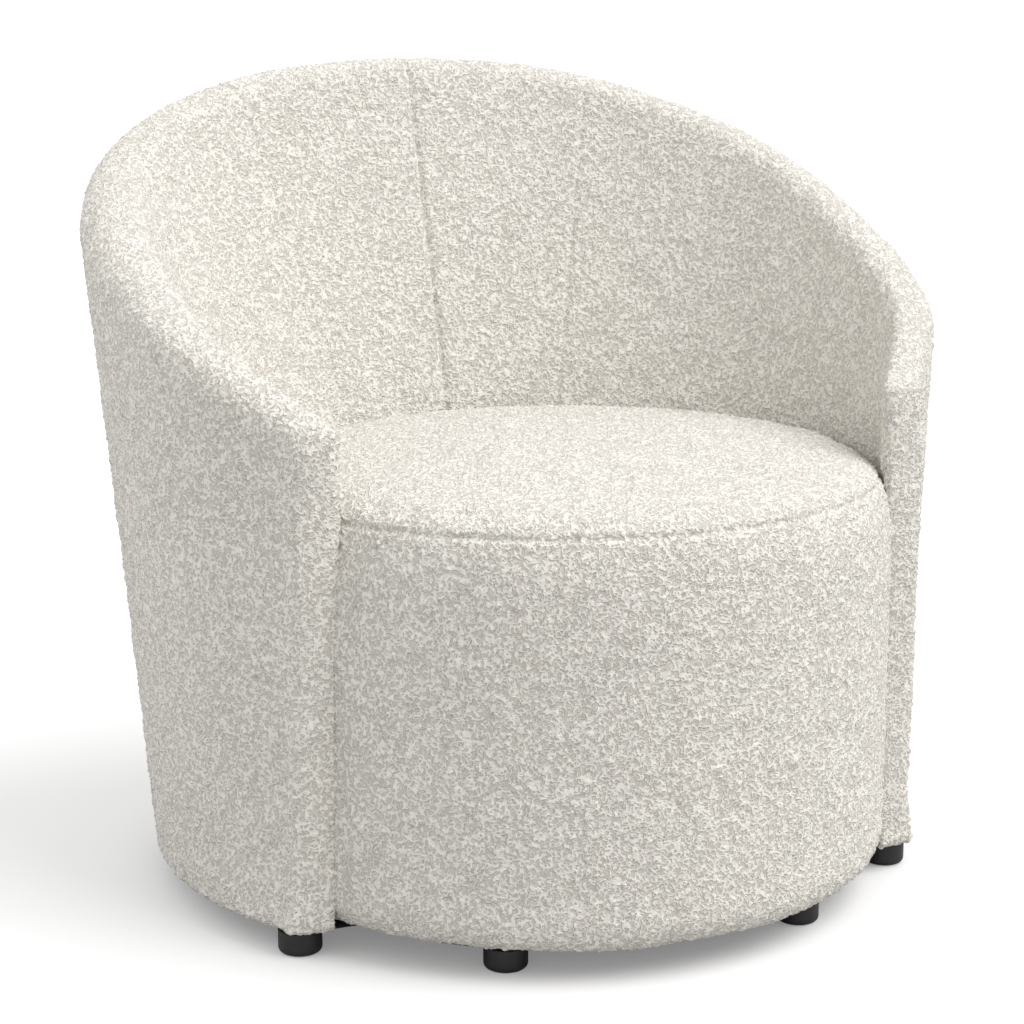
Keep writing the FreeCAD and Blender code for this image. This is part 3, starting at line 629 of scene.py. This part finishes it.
def lean_arm_ends(piece):
    """Lean the arm ends in towards each other, above the hem."""
    at = points_of(piece)
    lean = ARM_LEAN * ease(at_arm_end(at), *LEAN_RANGE) * ease(at[:, 2], *HEM_RANGE)
    at[:, 0] -= np.sign(at[:, 0]) * lean
    move_points(piece, at)


def inside_back(at, out):
    return (facing(at, out) < BACK_FACING) & (at[:, 1] > BACK_BEHIND)


def not_inside_back(at, out):
    return ~inside_back(at, out)


def on_arm_front(at, out):
    return at_arm_end(at) > ARM_SEAM_FROM


def from_side_seam(at):
    return from_plane(at, SIDE_SEAM_PLACE, SIDE_SEAM_NORMAL)


tub_nodes = [layer + side for layer in TUB_LAYERS for side in ("_left", "_right")]
tub = merged_copy("tub_skin", tub_nodes)
remesh(tub, VOXEL)
smooth(tub, TUB_SMOOTHING)
soften_arm_ends(tub)
lean_arm_ends(tub)
divide_where(tub, tub_shows)
raise_nubs(tub)

press_seam(tub, lambda at: at[:, 0], inside_back, BACK_SEAM_DEPTH)
press_seam(tub, lambda at: at[:, 0], not_inside_back, OUTSIDE_SEAM_DEPTH)
press_seam(tub, from_side_seam, inside_back, SIDE_SEAM_DEPTH)
press_seam(tub, lambda at: at[:, 2] - ARM_SEAM_LEVEL, on_arm_front, ARM_SEAM_DEPTH)

for side, sign in (("left", -1), ("right", 1)):
    mirror = np.array([sign, 1, 1])
    place = tuple(ARM_END_PLACE * mirror)
    normal = tuple(ARM_END_NORMAL * mirror)
    front, tub = both_sides(tub, "arm_front_" + side, "tub", place, normal)
    nodes = [layer + "_" + side for layer in TUB_LAYERS[-3:]]
    dress(front, boucle, "boucle_facing", *nodes)
tub.name = "tub"
dress(tub, boucle, "boucle_outside", *[n for n in tub_nodes if "facing" not in n])

# %% [markdown]
# ## Webbing
#
# Ten elastic straps cross the drum's upper hoop and carry the seat. Each is a flat strip,
# held taut at both ends, that gives a little in the middle under the foam.

# %% Webbing
STRAP_WIDTH = 0.050
STRAP_PITCH = 0.095
STRAP_THICKNESS = 0.0012
STRAP_REACH = (0.2706, 0.2546)
STRAP_SAG = 0.003
STRAP_TONE = (0.10, 0.10, 0.11)
STRAPS_EACH_SIDE = 2
STRAP_CUTS_ACROSS = 6
STRAP_CUTS_ALONG = 60
HOOP_TOP = 0.336
LENGTHWISE_LEVEL = HOOP_TOP + 0.0008
CROSSWISE_LEVEL = HOOP_TOP + 0.0023


def strap(offset, lengthwise, level):
    """One strap at an offset from the drum's middle, as a solid strip."""
    across, along = (0, 1) if lengthwise else (1, 0)
    edge = abs(offset) + STRAP_WIDTH / 2
    half = STRAP_REACH[along] * math.sqrt(1 - (edge / STRAP_REACH[across]) ** 2)
    bpy.ops.object.select_all(action="DESELECT")
    bpy.ops.mesh.primitive_grid_add(x_subdivisions=STRAP_CUTS_ACROSS,
                                    y_subdivisions=STRAP_CUTS_ALONG, size=1)
    piece = bpy.context.object
    flat = points_of(piece)
    at = np.empty_like(flat)
    at[:, across] = offset + flat[:, 0] * STRAP_WIDTH
    at[:, along] = flat[:, 1] * 2 * half
    at[:, 2] = level - STRAP_SAG * (1 - (2 * flat[:, 1]) ** 2)
    at[:, 1] += DRUM_MIDDLE[1]
    move_points(piece, at)
    modify(piece, "SOLIDIFY", thickness=STRAP_THICKNESS, offset=0)
    return piece, 2 * half


def strap_set(name, lengthwise, level, material):
    pieces = []
    for index in range(-STRAPS_EACH_SIDE, STRAPS_EACH_SIDE + 1):
        piece, length = strap(index * STRAP_PITCH, lengthwise, level)
        pieces.append(piece)
    select_only(pieces[0])
    for piece in pieces:
        piece.select_set(True)
    bpy.ops.object.join()
    straps = bpy.context.object
    straps.name = name
    straps.data.name = name
    dress(straps, material, "webbing", "webbing_" + name.split("_")[1])


def woven_strap(name, along):
    """Ribbed elastic weave: fine ridges across the strap and coarser cords along it."""
    weave = Shader(name)
    ridges = weave.waves("XYZ"[along], 300.0)
    cords = weave.waves("XYZ"[1 - along], 110.0)
    height = ridges * 0.6 + cords * 0.4
    weave.bump(height, 0.0006, 0.8)
    # Painted shade: the low places between ridges and cords are coloured darker.
    color = weave.blend(height, tuple(part * 0.55 for part in STRAP_TONE), STRAP_TONE)
    return weave.finish(color, Roughness=0.8)


strap_set("straps_lengthwise", True, LENGTHWISE_LEVEL, woven_strap("webbing_along", 1))
strap_set("straps_crosswise", False, CROSSWISE_LEVEL, woven_strap("webbing_across", 0))
print("straps laid")

# %% [markdown]
# ## Dust cover
#
# The black cloth under the chair is stapled taut round its edge, so it stays a flat sheet.
# Its solid has a face above and one below.

# %% Dust cover
def dust_cloth(name):
    """Non-woven cloth: dark, with a fine pressed pattern of points."""
    cloth = Shader(name)
    points = cloth.waves("X", 260.0) * cloth.waves("Y", 260.0)
    fibres = cloth.noise(900.0, 3.0)
    cloth.bump(points * 0.5 + fibres * 0.5, 0.0004, 0.5)
    color = cloth.blend(fibres, (0.010, 0.010, 0.010), (0.035, 0.035, 0.036))
    return cloth.finish(color, Roughness=0.9)


under = merged_copy("under_cloth", ["dust_cover"])
under_size = points_of(under).max(axis=0) - points_of(under).min(axis=0)
dress(under, dust_cloth("black_dust_cloth"), "dust_cloth", "dust_cover")

# %% [markdown]
# ## Feet, timber, boards and steel
#
# The glides are moulded plastic, black with a fine matt grain. The frame inside is bare
# plywood, the bent boards are brown hardboard, and the bolts, studs, nuts and dowels are
# zinc plated.

# %% Hard materials
def moulded_plastic(name, tone):
    plastic = Shader(name)
    grain = plastic.noise(1400.0, 2.0)
    plastic.bump(grain, 0.0001, 0.3)
    color = plastic.blend(plastic.noise(30.0), (tone, tone, tone), (tone * 1.4,) * 3)
    return plastic.finish(color, Roughness=grain * 0.15 + 0.38)


def plywood(name, stretch):
    """Long grain along one axis, as noise drawn out by the stretch."""
    wood = Shader(name)
    drawn = wood.stretched(stretch)
    grain = wood.noise(9.0, 5.0, 0.6, drawn)
    pores = wood.noise(60.0, 3.0, 0.6, drawn)
    wood.bump(pores, 0.0003, 0.4)
    figure = (grain * 1.6 - 0.3).at_least(0.0).at_most(1.0)
    color = wood.blend(figure, (0.42, 0.26, 0.13), (0.70, 0.52, 0.33))
    return wood.finish(color, Roughness=pores * 0.2 + 0.5)


def hardboard(name):
    board = Shader(name)
    flecks = board.noise(420.0, 4.0, 0.7)
    board.bump(flecks, 0.0002, 0.4)
    color = board.blend(flecks, (0.16, 0.09, 0.045), (0.33, 0.21, 0.12))
    return board.finish(color, Roughness=0.55)


def zinc(name):
    metal = Shader(name)
    spangle = metal.noise(220.0, 2.0)
    color = metal.blend(spangle, (0.50, 0.52, 0.55), (0.68, 0.70, 0.72))
    return metal.finish(color, Metallic=1.0, Roughness=spangle * 0.2 + 0.25)


def repaint(material, *names):
    for name in names:
        node = NODES[name]
        node.data.materials.clear()
        node.data.materials.append(material)


def nodes_with(*starts):
    return [name for name in NODES if name.startswith(starts)]


STEEL = ("foot_studs", "foot_tee_nuts", "joining_bolts", "cross_dowels")
repaint(moulded_plastic("black_glide_plastic", 0.012),
        *[name for name in nodes_with("foot_") if name not in STEEL])
repaint(zinc("zinc_plate"), *STEEL)
repaint(plywood("plywood_upright", (1.0, 1.0, 0.08)), "drum_posts",
        *nodes_with("back_rib", "shoulder_rib", "side_rib", "arm_rib", "arm_post"))
repaint(plywood("plywood_level", (0.08, 1.0, 1.0)), "drum_board", "drum_lower_hoop",
        "drum_upper_hoop", "tub_board", "seat_rail_blocks", *nodes_with("top_rail"))
repaint(hardboard("brown_hardboard"), "drum_lining", *nodes_with("inner_lining"))
bare = [name for name in NODES if not NODES[name].data.materials]
print("nodes left without a material:", bare)

# %% [markdown]
# ## The studio
#
# The chair stands on a white floor that runs on past the picture. A broad soft key comes
# from high on the right and a little from the front, over the even light of a white room,
# so that the seat and the arm tops are brightest. A weak light from behind on the left
# draws the outer edge of the tub.

# %% Floor and lights
FLOOR_SIZE = 160
FLOOR_GLOW = 0.20
KEY_DIRECTION = (-0.50, 0.34, -0.80)
KEY_STRENGTH = 2.15
KEY_SOFTNESS = 50
RIM_PLACE = (-2.4, 1.6, 1.6)
RIM_TARGET = (0, 0, 0.4)
RIM_SIZE = 1.6
RIM_POWER = 14
ROOM_STRENGTH = 0.86


def paper_floor(name):
    """White to the camera, but greyer to the chair, as a floor cut out of a picture is."""
    paper = Shader(name)
    seen = Socket(paper, paper.add("ShaderNodeLightPath").outputs["Is Camera Ray"])
    mottle = paper.noise(3.0, 2.0) * 0.005
    glow = paper.blend(seen - mottle, (0.0, 0.0, 0.0), (1.0, 1.0, 1.0))
    tone = paper.blend(seen, (0.50, 0.50, 0.50), (0.72, 0.72, 0.72))
    return paper.finish(tone, Emission_Color=glow, Emission_Strength=FLOOR_GLOW,
                        Roughness=0.8)


bpy.ops.object.select_all(action="DESELECT")
bpy.ops.mesh.primitive_plane_add(size=FLOOR_SIZE, location=(0, 0, 0))
floor = bpy.context.object
floor.name = "studio_floor"
floor.data.materials.append(paper_floor("white_floor"))


def soft_light(name, place, target, size, power):
    bpy.ops.object.light_add(type="AREA", location=place)
    light = bpy.context.object
    light.name = name
    light.data.size = size
    light.data.energy = power
    aim = Vector(target) - Vector(place)
    light.rotation_euler = aim.to_track_quat("-Z", "Y").to_euler()


def far_light(name, direction, strength, softness):
    """A light from far off, which shines along a direction."""
    bpy.ops.object.light_add(type="SUN", location=(0, 0, 3))
    light = bpy.context.object
    light.name = name
    light.data.energy = strength
    light.data.angle = math.radians(softness)
    light.rotation_euler = Vector(direction).to_track_quat("-Z", "Y").to_euler()


far_light("key", KEY_DIRECTION, KEY_STRENGTH, KEY_SOFTNESS)
soft_light("rim", RIM_PLACE, RIM_TARGET, RIM_SIZE, RIM_POWER)

world = bpy.context.scene.world or bpy.data.worlds.new("studio")
bpy.context.scene.world = world
world.use_nodes = True
room = world.node_tree.nodes["Background"]
room.inputs["Color"].default_value = (1, 1, 1, 1)
room.inputs["Strength"].default_value = ROOM_STRENGTH
bpy.context.scene.view_settings.view_transform = "Standard"
print("studio ready")
